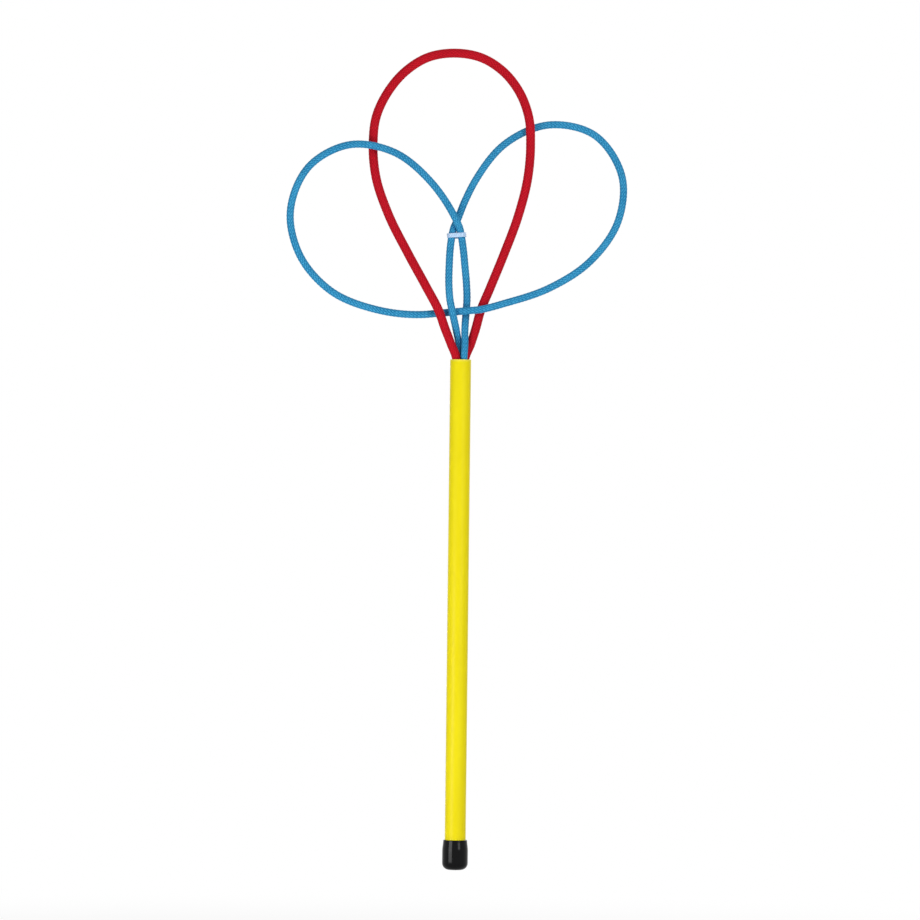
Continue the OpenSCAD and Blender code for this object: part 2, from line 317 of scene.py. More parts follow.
world = bpy.data.worlds.new("room")
bpy.context.scene.world = world
world.use_nodes = True
tree = world.node_tree
white = node(tree, "ShaderNodeBackground", {"Color": WHITE, "Strength": 1.0}).outputs[0]
soft = node(tree, "ShaderNodeBackground", {"Color": WHITE, "Strength": ROOM_LIGHT}).outputs[0]
sky = node(tree, "ShaderNodeMixShader", {0: seen_directly(tree), 1: soft, 2: white})
tree.links.new(sky.outputs[0], tree.nodes["World Output"].inputs["Surface"])
print("room light", ROOM_LIGHT, "floor at", round(disc[0, 2] / MM, 1), "mm")

# %% Lamps
# Each row: name, degrees to the right of the camera and up, then distance, width, height and watts
LAMPS = [
    ("low_lamp", -44, -2, 0.7, 0.38, 0.22, 2.0),
    ("front_lamp", 28, 34, 1.7, 0.80, 0.60, 7.0),
    ("small_lamp", 37, 6, 1.2, 0.44, 0.20, 1.5),
    ("top_lamp", 10, 75, 1.5, 1.20, 1.20, 3.0),
    ("back_lamp", 160, 30, 1.6, 0.90, 0.90, 7.0),
]

for lamp_name, side_deg, rise_deg, distance, width, height, power in LAMPS:
    side, rise = math.radians(side_deg), math.radians(rise_deg)
    towards = Vector((math.sin(side) * math.cos(rise), -math.cos(side) * math.cos(rise), math.sin(rise)))
    lamp_data = bpy.data.lights.new(lamp_name, "AREA")
    lamp_data.shape = "RECTANGLE"
    lamp_data.size, lamp_data.size_y = width, height
    lamp_data.energy = power
    lamp = bpy.data.objects.new(lamp_name, lamp_data)
    lamp.location = towards * distance
    lamp.rotation_euler = (-towards).to_track_quat("-Z", "Y").to_euler()
    lamp.visible_camera = False
    bpy.context.scene.collection.objects.link(lamp)
print("lamps:", [row[0] for row in LAMPS])

# %% [markdown]
# ## The way that the cords take
# Each cord is one springy rod in a braided sleeve. It comes out of the plug in the tube's mouth, goes
# round its loops and comes back into the plug. A curve object could be drawn by hand, but the route has
# to be the one that the solids follow, so the same stations are repeated here, as shares of the loops'
# own sizes.

# %% Sizes of the cords and loops
RED_D, BLUE_D, CORE_D = 5.6 * MM, 4.4 * MM, 2.4 * MM
CORD_GAP, CORE_GAP, WEAVE_GAP, STRAND_GAP = 0.1 * MM, 0.15 * MM, 0.5 * MM, 0.7 * MM
NECK_H, MOUTH_TURN_DEG = 10 * MM, 33
RED_H, RED_W, RED_LEAN = 194.5 * MM, 100 * MM, 7.2 * MM
LOBE_REACH, LOBE_H, LOBE_TILT_DEG = 106 * MM, 112 * MM, 5.25
CROSS_H, FOOT_SHIFT, UPRIGHT_W = 30.8 * MM, 1.7 * MM, 11.2 * MM

# The four legs fill the mouth as a cross: each touches its two neighbours, and the two pairs stand square.
leg_sum = (RED_D + BLUE_D) / 2 + CORD_GAP
leg_diff = (RED_D - BLUE_D) / 2
red_ring = (math.sqrt(2 * leg_sum ** 2 - leg_diff ** 2) - leg_diff) / 2
blue_ring = red_ring + leg_diff
mouth_turn = math.radians(MOUTH_TURN_DEG)
RED_LEG = red_ring * np.array([math.cos(mouth_turn), math.sin(mouth_turn)])
BLUE_LEG = blue_ring * np.array([math.sin(mouth_turn), -math.cos(mouth_turn)])

# Where cords cross, their depths share the distance that they need, which is more where they cross aslant.
SLANT_SHARE, RED_CROSS_SHARE, RED_TOP_SHARE, BLUE_CROSS_SHARE = 1.1, 0.4, 0.75, 0.63
MIXED_DEPTH = (RED_D + BLUE_D) / 2 + WEAVE_GAP
BLUE_DEPTH = SLANT_SHARE * (BLUE_D + WEAVE_GAP)
RED_WEAVE = RED_CROSS_SHARE * MIXED_DEPTH
LOBE_WEAVE = MIXED_DEPTH - RED_TOP_SHARE * RED_WEAVE
UPRIGHT_WEAVE = BLUE_CROSS_SHARE * BLUE_DEPTH
STRAND_WEAVE = BLUE_DEPTH - UPRIGHT_WEAVE
LEG_CROSS_WEAVE = MIXED_DEPTH - RED_WEAVE
PINCH_WEAVE = (BLUE_D + WEAVE_GAP) / 2
TIE_HALF = BLUE_D / 2 + STRAND_GAP
print("legs in mm:", np.round(RED_LEG / MM, 2), np.round(BLUE_LEG / MM, 2))

# %% Stations, as shares of width, height and depth
RED_SHARES = np.array([
    [0.20, 0.105, -0.95], [0.26, 0.155, -1.0], [0.405, 0.235, -0.95], [0.61, 0.345, -0.5],
    [0.83, 0.475, 0.2], [0.965, 0.595, 0.65], [1.0, 0.70, 0.75], [0.97, 0.79, 0.75],
    [0.842, 0.87, 0.65], [0.622, 0.94, 0.4], [0.345, 0.985, 0.2],
])
RED_TOP = np.array([[0, 1, 0]])
UPRIGHT_SHARES = np.array([
    [0.46, 0.195, -0.2], [0.77, 0.34, 1.0], [0.96, 0.43, 0.91], [1.0, 0.545, 0.65],
    [0.89, 0.68, 0.35], [0.75, 0.795, 0.15],
])
RIGHT_LOBE_SHARES = np.array([
    [0.055, 0.615, 0.66], [0.14, 0.745, 0.75], [0.33, 0.93, 0.95], [0.60, 1.015, 1.0],
    [0.86, 0.94, 0.85], [1.01, 0.68, 0.35], [0.965, 0.44, -0.1], [0.78, 0.225, -0.45],
    [0.52, 0.09, -0.7], [0.25, 0.025, -0.8],
])
LEFT_LOBE_SHARES = np.array([
    [0.055, 0.625, 0.66], [0.14, 0.75, 0.75], [0.345, 0.93, 0.95], [0.60, 0.99, 1.0],
    [0.85, 0.89, 0.85], [0.99, 0.63, 0.35], [0.955, 0.395, -0.1], [0.785, 0.175, -0.45],
    [0.52, 0.048, -0.7], [0.25, 0.0, -0.8],
])
RED_NECK_SHARES, BLUE_NECK_SHARES = np.array([2.3, 1.1]), np.array([0.95, 0.74])
TWIST_SHARES = (0.62, 0.955, 0.68)
LEAN_SHARE, PINCH_SHARE, TIE_SHARE = 0.667, 0.51, 0.90
BACK_SHARE, BACK_FROM, BACK_TO = 0.19, 0.72, 0.95
LEG_CROSS_SHARE, UPRIGHT_CROSS_SHARE = 0.26, 0.77
chosen = (RED_SHARES, UPRIGHT_SHARES, RIGHT_LOBE_SHARES, LEFT_LOBE_SHARES)
print("stations of a red side, an upright and the two lobes:", [len(shares) for shares in chosen])


# %% The red route
def eased(s):
    """0 below s = 0, 1 above s = 1, and s s (3 - 2 s) between them."""
    s = np.clip(s, 0, 1)
    return s * s * (3 - 2 * s)


def leg_foot(leg, neck):
    """A leg's straight end, from the plug's hole up to the mouth, and then its neck."""
    heights = [CORE_FOOT_Z, PLUG_TOP_Z, (PLUG_TOP_Z + MOUTH_Z) / 2, MOUTH_Z]
    return np.array([[*leg, z] for z in heights] + [[*neck, MOUTH_Z + NECK_H]])


def red_side(shares, side):
    """Stations of one side of the red loop.

    Its middle line eases to the left, and a little way back near the top.
    """
    out, high, deep = shares.T
    back = BACK_SHARE * eased((high - BACK_FROM) / (BACK_TO - BACK_FROM))
    x = RED_LEAN * (back - eased(high / LEAN_SHARE)) - side * out * RED_W / 2
    return np.column_stack([x, side * deep * RED_WEAVE, MOUTH_Z + high * RED_H])


def red_rise(side):
    """One side of the red loop, from the plug up to just short of its top."""
    foot = leg_foot(-side * RED_LEG, -side * RED_NECK_SHARES * RED_LEG)
    return np.vstack([foot, red_side(RED_SHARES, side)])


RED_STATIONS = np.vstack([red_rise(1), red_side(RED_TOP, 1), red_rise(-1)[::-1]])
print("red stations:", len(RED_STATIONS))


# %% The blue route
def turned_in_plane(offsets, degrees):
    """Offsets turned about the front-to-back axis: x cos - z sin, and x sin + z cos."""
    offsets = np.atleast_2d(offsets)
    c, s = math.cos(math.radians(degrees)), math.sin(math.radians(degrees))
    x, y, z = offsets.T
    return np.column_stack([x * c - z * s, y, x * s + z * c])


FOOT = np.array([FOOT_SHIFT, 0, MOUTH_Z + CROSS_H])
PINCH = FOOT + turned_in_plane([0, 0, PINCH_SHARE * LOBE_H], LOBE_TILT_DEG)[0]
PINCH_H = PINCH[2] - MOUTH_Z


def middle_x(height):
    """Line midway between the uprights.

    It takes s (2 - s) of the pinch's shift to the left, where s is the share of the pinch's height.
    """
    s = height / PINCH_H
    return FOOT_SHIFT + (PINCH[0] - FOOT_SHIFT) * s * (2 - s)


TIE_AT = np.array([middle_x(TIE_SHARE * PINCH_H), 0, MOUTH_Z + TIE_SHARE * PINCH_H])
CROSSING = FOOT + turned_in_plane([middle_x(CROSS_H) - FOOT_SHIFT, 0, 0], LOBE_TILT_DEG)[0]


def blue_rise(side):
    """One upright, from the plug up past the tie to the pinch, where the two blue strands cross."""
    neck = np.array([middle_x(NECK_H), 0]) + side * BLUE_NECK_SHARES * BLUE_LEG
    out, high, deep = UPRIGHT_SHARES.T
    x = middle_x(high * PINCH_H) + side * out * UPRIGHT_W / 2
    uprights = np.column_stack([x, side * deep * UPRIGHT_WEAVE, MOUTH_Z + high * PINCH_H])
    out, high, deep = TWIST_SHARES
    x = middle_x(high * PINCH_H) + side * out * TIE_HALF
    twist = [x, -side * deep * PINCH_WEAVE, MOUTH_Z + high * PINCH_H]
    above = [TIE_AT + [side * TIE_HALF, 0, 0], twist, PINCH + [0, -side * PINCH_WEAVE, 0]]
    return np.vstack([leg_foot(side * BLUE_LEG, neck), uprights, above])


def blue_lobe(side):
    """One lobe, from the pinch round to the strand that joins the two lobes low down."""
    out, high, deep = (RIGHT_LOBE_SHARES if side > 0 else LEFT_LOBE_SHARES).T
    lobe = np.column_stack([side * out * LOBE_REACH, side * deep * LOBE_WEAVE, high * LOBE_H])
    strand = [
        [side * LEG_CROSS_SHARE * RED_W / 2, -side * LEG_CROSS_WEAVE, 0],
        [side * UPRIGHT_CROSS_SHARE * UPRIGHT_W / 2, -side * STRAND_WEAVE, 0],
    ]
    return np.vstack([
        FOOT + turned_in_plane(lobe, LOBE_TILT_DEG), CROSSING + turned_in_plane(strand, LOBE_TILT_DEG)
    ])


BLUE_STATIONS = np.vstack([
    blue_rise(-1), blue_lobe(1), CROSSING, blue_lobe(-1)[::-1], blue_rise(1)[::-1]
])
print("blue stations:", len(BLUE_STATIONS))


# %% A smooth curve through the stations
def smooth_curve(stations, per_span=160):
    """A dense line through the stations.

    At each station the direction is the mean of the two chords there, the shorter one counting more.
    Between two stations the place is the cubic that leaves the first and reaches the second in those
    directions.
    """
    chord = np.diff(stations, axis=0)
    size = np.linalg.norm(chord, axis=1)[:, None]
    a, b = size[:-1], size[1:]
    inner = (chord[:-1] * b / a + chord[1:] * a / b) / (a + b)
    heading = np.vstack([chord[:1] / size[:1], inner, chord[-1:] / size[-1:]])
    u = np.linspace(0, 1, per_span, endpoint=False)[None, :, None]
    v = 1 - u
    leave, arrive = (size * heading[:-1])[:, None], (size * heading[1:])[:, None]
    line = stations[:-1, None] + chord[:, None] * u * u * (3 - 2 * u)
    line = line + leave * u * v * v - arrive * u * u * v
    return np.vstack([line.reshape(-1, 3), stations[-1:]])


def even_rings(line, step):
    """Rings at even steps along a line: their places, two square directions across and the lengths so far.

    The first direction across is the part of +Y square to the line, and the second is square to both.
    """
    so_far = np.concatenate([[0], np.cumsum(np.linalg.norm(np.diff(line, axis=0), axis=1))])
    length = np.linspace(0, so_far[-1], int(round(so_far[-1] / step)) + 1)
    place = np.column_stack([np.interp(length, so_far, line[:, k]) for k in range(3)])
    along = np.gradient(place, axis=0)
    along /= np.linalg.norm(along, axis=1)[:, None]
    across = np.array([0, 1, 0]) - along[:, 1:2] * along
    across /= np.linalg.norm(across, axis=1)[:, None]
    return {"place": place, "across": across, "beside": np.cross(along, across), "length": length}


red_line, blue_line = smooth_curve(RED_STATIONS), smooth_curve(BLUE_STATIONS)
for cord_name, line in (("red", red_line), ("blue", blue_line)):
    core_length = np.linalg.norm(np.diff(line, axis=0), axis=1).sum()
    print(cord_name, "core is", round(core_length / MM, 1), "mm long")

# %% [markdown]
# ## The braided finish
# A braid is coloured yarn with fine fibres along it. On top of the yarn's colour, each strand is lighter
# on its crown as a painted highlight and darker in the gaps as painted shade, and the strands of one
# winding sense are a little paler as a painted sheen. An image of a weave could be wrapped round, but it
# would stretch at the bends. Instead each sleeve carries its own braid coordinates: the strand number in
# each winding sense. The fibres and the colours follow those.

# %% Braid finishes
# The height of the weave paints shade into the gaps and a highlight onto the crowns of the strands.
WEAVE_SHADE_PART, FIBRE_PART, PATCH_PART, TONE_DROP = 0.75, 0.35, 0.2, 0.15
SHADED_GAP_TONE, BODY_TONE, HIGHLIT_CROWN_TONE = 0.45, 0.70, 0.92
FIBRE_SCALE = (9.0, 1.1, 1.0)


def braid_finish(name, gap, body, crown, slant):
    """Yarn colour by the height of the weave, fibres along whichever strand is on top, and a soft sheen.

    The tone is a sum of parts of the height, which paints a highlight on the crowns and shade in the
    gaps, the fibres and some wide patches. The strands of the second winding sense are paler by slant,
    a painted sheen that gives the slanting streaks.
    """
    material, tree, shader, place = new_finish(
        name, roughness=0.75, sheen_weight=0.05, sheen_roughness=0.45, specular_ior_level=0.12,
        sheen_tint=paint(crown)
    )
    height = node(tree, "ShaderNodeAttribute", attribute_name="weave_height").outputs["Fac"]
    family = node(tree, "ShaderNodeAttribute", attribute_name="weave_family").outputs["Fac"]
    strand = node(tree, "ShaderNodeUVMap", uv_map="braid").outputs["UV"]
    parts = node(tree, "ShaderNodeSeparateXYZ", {0: strand}).outputs
    first = node(tree, "ShaderNodeCombineXYZ", {0: parts[0], 1: parts[1]}).outputs[0]
    second = node(tree, "ShaderNodeCombineXYZ", {0: parts[1], 1: parts[0]}).outputs[0]
    on_top = mixed(tree, math_node(tree, "GREATER_THAN", family, 0.5), first, second)
    fibres = noise(tree, drawn_out(tree, on_top, FIBRE_SCALE), scale=1.0, detail=2.0)
    patches = noise(tree, place, scale=55.0, detail=2.0)
    tone = math_node(tree, "MULTIPLY", height, WEAVE_SHADE_PART)
    tone = math_node(tree, "MULTIPLY_ADD", fibres, FIBRE_PART, tone)
    tone = math_node(tree, "SUBTRACT", tone, TONE_DROP)
    tone = math_node(tree, "MULTIPLY_ADD", patches, PATCH_PART, tone)
    tone = math_node(tree, "MULTIPLY_ADD", family, slant, tone)
    stops = [(SHADED_GAP_TONE, gap), (BODY_TONE, body), (HIGHLIT_CROWN_TONE, crown)]
    feed(tree, shader, base_color=ramp(tree, tone, stops))
    bumped(tree, shader, fibres, distance=0.08 * MM, strength=0.55)
    return material


# Each braid: painted shade in the gaps, its yarn, painted highlight on the crowns, and its painted sheen.
RED_BRAID = braid_finish("red_braid", "#840414", "#B8091D", "#CE1629", 0.06)
BLUE_BRAID = braid_finish("blue_braid", "#0D4D77", "#1E7DB0", "#46A6D4", 0.12)
print("finishes:", RED_BRAID.name, BLUE_BRAID.name)

# %% [markdown]
# ## The braided sleeves
# The sleeve is a thin woven skin round the core. A plain tube with a bump map would show a smooth
# outline, so the strands are in the surface itself: the radius follows the formula of a plain weave
# wound round the cord. The head sways at the neck, and the sleeve is cut in the neck into two pieces:
# the short ends and the long part.

# %% The weave
YARN_SHARE = 0.6


def strand_height(off, over):
    """Half a circle across a strand, with off 0 on its middle, and a share for how far it is on top."""
    return YARN_SHARE * np.sqrt(np.maximum(0, 1 - 4 * off ** 2)) + (1 - YARN_SHARE) * over


def weave(length, turn, strands, lay):
    """Height of a braid from 0 in a gap to 1 on a crown, the family on top, and the two strand numbers.

    Two families of strands wind round the cord in opposite senses. A strand number is the count of
    strands times the share of a turn plus, or minus, the share of the lay. Across a strand the height is
    a half circle. Along it a cosine lifts it over every second strand of the other family and sinks it
    under the rest. The higher of the two families shows.
    """
    a = strands * (turn + length / lay)
    b = strands * (turn - length / lay)
    near_a, near_b = np.round(a), np.round(b)
    rise_a = strand_height(a - near_a, 0.5 + 0.5 * np.cos(np.pi * (b - near_a)))
    rise_b = strand_height(b - near_b, 0.5 - 0.5 * np.cos(np.pi * (a - near_b)))
    return np.maximum(rise_a, rise_b), (rise_b > rise_a).astype(float), a, b


sample = weave(np.linspace(0, 1, 50)[:, None], np.linspace(0, 1, 50)[None, :], 8, 1.0)[0]
print("weave heights from", round(sample.min(), 2), "to", round(sample.max(), 2))


# %% Points round a cord
def rings_at(rings, numbers):
    """Rings at whole or broken ring numbers: each value is mixed from the rings before and after."""
    before, after = np.floor(numbers).astype(int), np.ceil(numbers).astype(int)
    share = numbers - before
    return {
        key: (values[before].T * (1 - share) + values[after].T * share).T for key, values in rings.items()
    }


def round_about(rings, radius, sides):
    """Points round each ring: its place plus the radius along a direction that turns about the cord."""
    spin = 2 * np.pi * np.arange(sides)[None, :, None] / sides
    outward = np.cos(spin) * rings["across"][:, None] + np.sin(spin) * rings["beside"][:, None]
    return rings["place"][:, None] + radius * outward


SWELL_FROM, SWELL_TO = MOUTH_Z + 8 * MM, MOUTH_Z + 22 * MM


def swell(height):
    """0 in the tube's mouth, where the cords are squeezed, 1 in the open, and eased between two heights."""
    return eased((height - SWELL_FROM) / (SWELL_TO - SWELL_FROM))


print("the braid swells from", round(SWELL_FROM / MM, 1), "to", round(SWELL_TO / MM, 1), "mm up")

# %% A stretch of sleeve
BORE_SIDES_SHARE = 4
BORE_STEP = 5
END_RING_SHARE = 0.05
BLANK = 0.5
WEAVE_VALUES = ("weave_height", "weave_family", "strand_a", "strand_b")


def sleeve_run(rings, first, last, braid):
    """A closed hollow stretch of sleeve between two rings, as points, skin, flat ends and weave values.

    Outside is the braid. Inside is a plain round bore with fewer points, and a flat ring of faces closes
    each end. A second ring very near each end keeps the shading of the skin apart from that of the end.
    """
    sides = braid["sides"]
    rows = np.concatenate([
        [first, first + END_RING_SHARE], np.arange(first + 1, last), [last - END_RING_SHARE, last]
    ])
    skin_rings = rings_at(rings, rows)
    turn = np.arange(sides) / sides
    woven = weave(skin_rings["length"][:, None], turn[None, :], braid["strands"], braid["lay"])
    crown = braid["radius"] + braid["proud"] * swell(skin_rings["place"][:, 2])[:, None]
    radius = crown - braid["relief"] * (1 - woven[0])
    outside = round_about(skin_rings, radius[..., None], sides)

    few = sides // BORE_SIDES_SHARE
    bore_rows = np.unique(np.append(np.arange(first, last, BORE_STEP), last))
    inside = round_about(rings_at(rings, bore_rows), CORE_D / 2 + CORE_GAP, few)

    points = np.vstack([outside.reshape(-1, 3), inside.reshape(-1, 3)])
    inner = len(rows) * sides
    bore_faces = grid_faces(len(bore_rows), few, inner, inward=True)
    skin = np.vstack([grid_faces(len(rows), sides), bore_faces])
    k = np.arange(few)[:, None]
    outer_corners = (k * BORE_SIDES_SHARE + np.arange(BORE_SIDES_SHARE + 1)) % sides
    inner_corners = inner + np.hstack([(k + 1) % few, k])
    near_end = np.hstack([outer_corners, inner_corners])[:, ::-1]
    far_end = np.hstack([inner - sides + outer_corners, (len(bore_rows) - 1) * few + inner_corners])
    blank = np.full(len(points) - inner, BLANK)
    values = {key: np.append(grid, blank) for key, grid in zip(WEAVE_VALUES, woven)}
    return points, skin, np.vstack([near_end, far_end]), values


# %% Sleeves as objects
def joined_piece(name, runs, finish):
    """One object from one or more closed stretches, each with its points, its skin and its flat ends."""
    starts = np.cumsum([0] + [len(run[0]) for run in runs[:-1]])
    points = np.vstack([run[0] for run in runs])
    skin = np.vstack([run[1] + start for run, start in zip(runs, starts)])
    ends = np.vstack([run[2] + start for run, start in zip(runs, starts)])
    return make_piece(name, points, [*skin, *ends], finish, len(ends))


def sleeve_piece(name, rings, spans, braid, finish):
    """One object from one or more stretches of sleeve, with the strand numbers as its UV map.

    The last column of quads meets the first one, where both strand numbers start again. A corner there that
    falls behind the first corner of its quad is moved on by the count of strands.
    """
    runs = [sleeve_run(rings, first, last, braid) for first, last in spans]
    piece = joined_piece(name, runs, finish)
    values = {key: np.concatenate([run[3][key] for run in runs]) for key in WEAVE_VALUES}
    for key in ("weave_height", "weave_family"):
        attribute = piece.data.attributes.new(key, "FLOAT", "POINT")
        attribute.data.foreach_set("value", values[key].astype(np.float32))
    corners = np.zeros(len(piece.data.loops), np.int32)
    piece.data.loops.foreach_get("vertex_index", corners)
    pair = np.column_stack([values["strand_a"][corners], values["strand_b"][corners]])
    quad_corners = 4 * sum(len(run[1]) for run in runs)
    per_quad = pair[:quad_corners].reshape(-1, 4, 2)
    behind = (per_quad[:, :1] - per_quad).sum(-1) > braid["strands"]
    pair[:quad_corners] = (per_quad + np.where(behind, braid["strands"], 0)[..., None]).reshape(-1, 2)
    piece.data.uv_layers.new(name="braid").data.foreach_set("uv", pair.astype(np.float32).ravel())
    report(piece)
    return piece


# %% Red and blue sleeves
STEP = 0.45 * MM
RED_WEAVE_FORM = {
    "radius": RED_D / 2, "proud": 0.10 * MM, "relief": 0.20 * MM, "strands": 10, "sides": 60, "lay": 24 * MM
}
BLUE_WEAVE_FORM = {
    "radius": BLUE_D / 2, "proud": 0.16 * MM, "relief": 0.26 * MM, "strands": 8, "sides": 48, "lay": 19 * MM
}
CUT_Z = 252 * MM
TINY = 1e-9


def cut_rings(rings):
    """Numbers of the rings where the cord passes the cut on the way up and on the way down again."""
    above = np.nonzero(rings["place"][:, 2] > CUT_Z)[0]
    return above[0], above[-1]


def bend_in_neck(long_part, short_ends):
    """Bakes the place of each of the two pieces, the long part and the short ends, into its mesh."""
    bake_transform(short_ends)
    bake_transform(long_part)


def from_plug_top(line):
    """The part of a cord's line that is above the plug, where it has a sleeve."""
    return line[line[:, 2] >= PLUG_TOP_Z - TINY]


for colour_name, line, form, finish in (
    ("red", red_line, RED_WEAVE_FORM, RED_BRAID),
    ("blue", blue_line, BLUE_WEAVE_FORM, BLUE_BRAID),
):
    rings = even_rings(from_plug_top(line), STEP)
    up_cut, down_cut = cut_rings(rings)
    end_spans = [(0, up_cut), (down_cut, len(rings["length"]) - 1)]
    sleeve = sleeve_piece(f"{colour_name}_sleeve", rings, [(up_cut, down_cut)], form, finish)
    sleeve_ends = sleeve_piece(f"{colour_name}_sleeve_ends", rings, end_spans, form, finish)
    bend_in_neck(sleeve, sleeve_ends)
    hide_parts(f"{colour_name}_loop")
    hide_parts(f"{colour_name}_leg_ends")
    print(colour_name, "sleeve is", round(rings["length"][-1] / MM, 1), "mm long")

# %% [markdown]
# ## The cores
# A springy nylon rod runs inside each sleeve and makes the loops stand up by themselves. It hardly
# shows, but its feet sit in the plug's holes, so it is a real piece. A bevelled curve would do; the
# same rings as for the sleeve are used instead, with a plain round section, so both bend alike.

# %% Nylon finish and cores
CORE_NYLON, tree, shader, place = new_finish("core_nylon", roughness=0.42, specular_ior_level=0.5)
feed(tree, shader, base_color=two_tones(tree, noise(tree, place, scale=180.0), "#D8D6CE", "#E6E5DF"))
bumped(tree, shader, noise(tree, place, scale=2500.0), distance=0.03 * MM, strength=0.3)

CORE_SIDES = 16
CORE_STEP = 1.5 * MM


def rod_run(rings, first, last):
    """A closed plain rod between two rings: each ring is a circle, and the two ends are flat."""
    rows = np.arange(first, last + 1)
    points = round_about(rings_at(rings, rows), CORE_D / 2, CORE_SIDES)
    skin, ends = grid_faces(len(rows), CORE_SIDES), end_faces(len(rows), CORE_SIDES)
    return points.reshape(-1, 3), skin, ends


for colour_name, line in (("red", red_line), ("blue", blue_line)):
    rings = even_rings(line, CORE_STEP)
    up_cut, down_cut = cut_rings(rings)
    feet = [rod_run(rings, 0, up_cut), rod_run(rings, down_cut, len(rings["length"]) - 1)]
    rod = joined_piece(f"{colour_name}_core_rod", [rod_run(rings, up_cut, down_cut)], CORE_NYLON)
    rod_feet = joined_piece(f"{colour_name}_core_feet", feet, CORE_NYLON)
    bend_in_neck(rod, rod_feet)
    for piece in (rod, rod_feet):
        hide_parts(f"{colour_name}_core")
        report(piece)

# %% [markdown]
# ## The painted tube
# The handle is a thin tube with lemon-yellow gloss paint. It is a turned shape: an outline of radius
# and height, carried round the axis. The rims are rounded as a cut and painted edge is, because a sharp
# rim catches no light. The paint is a little uneven and is paler in patches at the upper rim, and the
# inside is bare metal.


# %% Turned shapes
def arc(radius_at, height_at, size, from_deg, to_deg, count=7):
    """Points of a round corner: centre plus size times cosine and sine of evenly spaced angles."""
    t = np.radians(np.linspace(from_deg, to_deg, count))
    return np.column_stack([radius_at + size * np.cos(t), height_at + size * np.sin(t)])


def straight(radius, heights):
    """Points of a straight wall: the same radius at each of the heights."""
    return np.column_stack([np.full(len(heights), radius), heights])


def turned_points(outline, sides):
    """An outline of radius and height carried round the axis: x = r cos t, y = r sin t, z = height."""
    t = 2 * np.pi * np.arange(sides) / sides
    r, z = outline[:, :1], outline[:, 1:]
    return np.stack([r * np.cos(t), r * np.sin(t), z + 0 * t], -1).reshape(-1, 3)


TUBE_SIDES = 96
TUBE_R = tube_high.x
TUBE_WALL = 0.5 * MM
RIM_ROUND = 0.2 * MM
TUBE_ROWS = 60

inner_r = TUBE_R - TUBE_WALL
heights = np.linspace(tube_low.z + RIM_ROUND, tube_high.z - RIM_ROUND, TUBE_ROWS)
tube_outline = np.vstack([
    straight(TUBE_R, heights[:-1]),
    arc(TUBE_R - RIM_ROUND, heights[-1], RIM_ROUND, 0, 90),
    arc(inner_r + RIM_ROUND, heights[-1], RIM_ROUND, 90, 180),
    straight(inner_r, heights[-2:0:-1]),
    arc(inner_r + RIM_ROUND, heights[0], RIM_ROUND, 180, 270),
    arc(TUBE_R - RIM_ROUND, heights[0], RIM_ROUND, 270, 360)[:-1],
])
print("the tube's outline has", len(tube_outline), "points, and its radius is", round(TUBE_R / MM, 2), "mm")

# %% Yellow paint and bare metal
PALE_RIM_H = 1.6 * MM
BLOTCH_SCALE, DRAWN_SCALE = (1, 1, 0.25), (1, 1, 0.05)

YELLOW_PAINT, tree, shader, place = new_finish(
    "yellow_paint", coat_weight=0.03, coat_roughness=0.15, specular_ior_level=0.12
)
blotches = noise(tree, drawn_out(tree, place, BLOTCH_SCALE), scale=90.0)
# The paint is paler in patches within a narrow band just below the mouth.
rim = spread(tree, level_of(tree, place), start=MOUTH_Z - PALE_RIM_H, stop=MOUTH_Z)
pale_patches = math_node(tree, "MULTIPLY", rim, noise(tree, place, scale=900.0))
coat = mixed(tree, pale_patches, two_tones(tree, blotches, "#EDDB08", "#F2E20E"), paint("#F8EE7A"))
smear = noise(tree, place, scale=260.0, detail=5.0)
feed(tree, shader, base_color=coat, roughness=spread(tree, smear, 0.34, 0.46))
bumped(tree, shader, noise(tree, place, scale=700.0, detail=1.0), distance=0.03 * MM, strength=0.10)

BARE_METAL, tree, shader, place = new_finish("bare_metal", metallic=1.0)
drawn = noise(tree, drawn_out(tree, place, DRAWN_SCALE), scale=2200.0)
clouded(tree, shader, drawn, tones=("#7C7F82", "#A3A6A8"), gloss=(0.35, 0.55))
print("finishes:", YELLOW_PAINT.name, BARE_METAL.name)

# %% The tube
INSIDE_MARGIN = 0.1 * RIM_ROUND
tube_faces = ring_faces(len(tube_outline), TUBE_SIDES)
tube = make_piece("painted_tube", turned_points(tube_outline, TUBE_SIDES), tube_faces, YELLOW_PAINT)
tube.data.materials.append(BARE_METAL)
middle = np.zeros(3 * len(tube.data.polygons))
tube.data.polygons.foreach_get("center", middle)
inside = np.hypot(middle[0::3], middle[1::3]) < inner_r + INSIDE_MARGIN
tube.data.polygons.foreach_set("material_index", inside.astype(np.int32))
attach(tube, "handle")
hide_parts("handle_tube")
report(tube)

# %% [markdown]
# ## The foot cap
# The cap is dipped vinyl: black, soft, with a rounded foot and a thin lip that grips the tube. It is
# turned like the tube. A bevel modifier could round a plain cup, but the outline has three different
# rounds, so they are written as arcs and an easing line. The finish is glossy, with fine scuffs that
# make it duller in patches, most of all round the foot.

# %% Black vinyl
SCUFF_H = 5 * MM
SCUFF_PART, FOOT_PART, LEAST_ROUGH = 0.16, 0.16, 0.05
LEAST_DULL, MOST_DULL = 0.05, 0.4

BLACK_VINYL, tree, shader, place = new_finish("black_vinyl", specular_ior_level=0.13)
foot = spread(tree, level_of(tree, place), start=cap_low.z + SCUFF_H, stop=cap_low.z)
scuffs = noise(tree, place, scale=420.0, detail=6.0, roughness=0.7)
dull = math_node(tree, "MULTIPLY_ADD", foot, FOOT_PART, math_node(tree, "MULTIPLY", scuffs, SCUFF_PART))
black = ramp(tree, dull, [(LEAST_DULL, "#040405"), (MOST_DULL, "#0B0B0C")])
feed(tree, shader, base_color=black, roughness=math_node(tree, "ADD", dull, LEAST_ROUGH))
bumped(tree, shader, noise(tree, place, scale=500.0), distance=0.04 * MM, strength=0.10)
print("finish:", BLACK_VINYL.name)

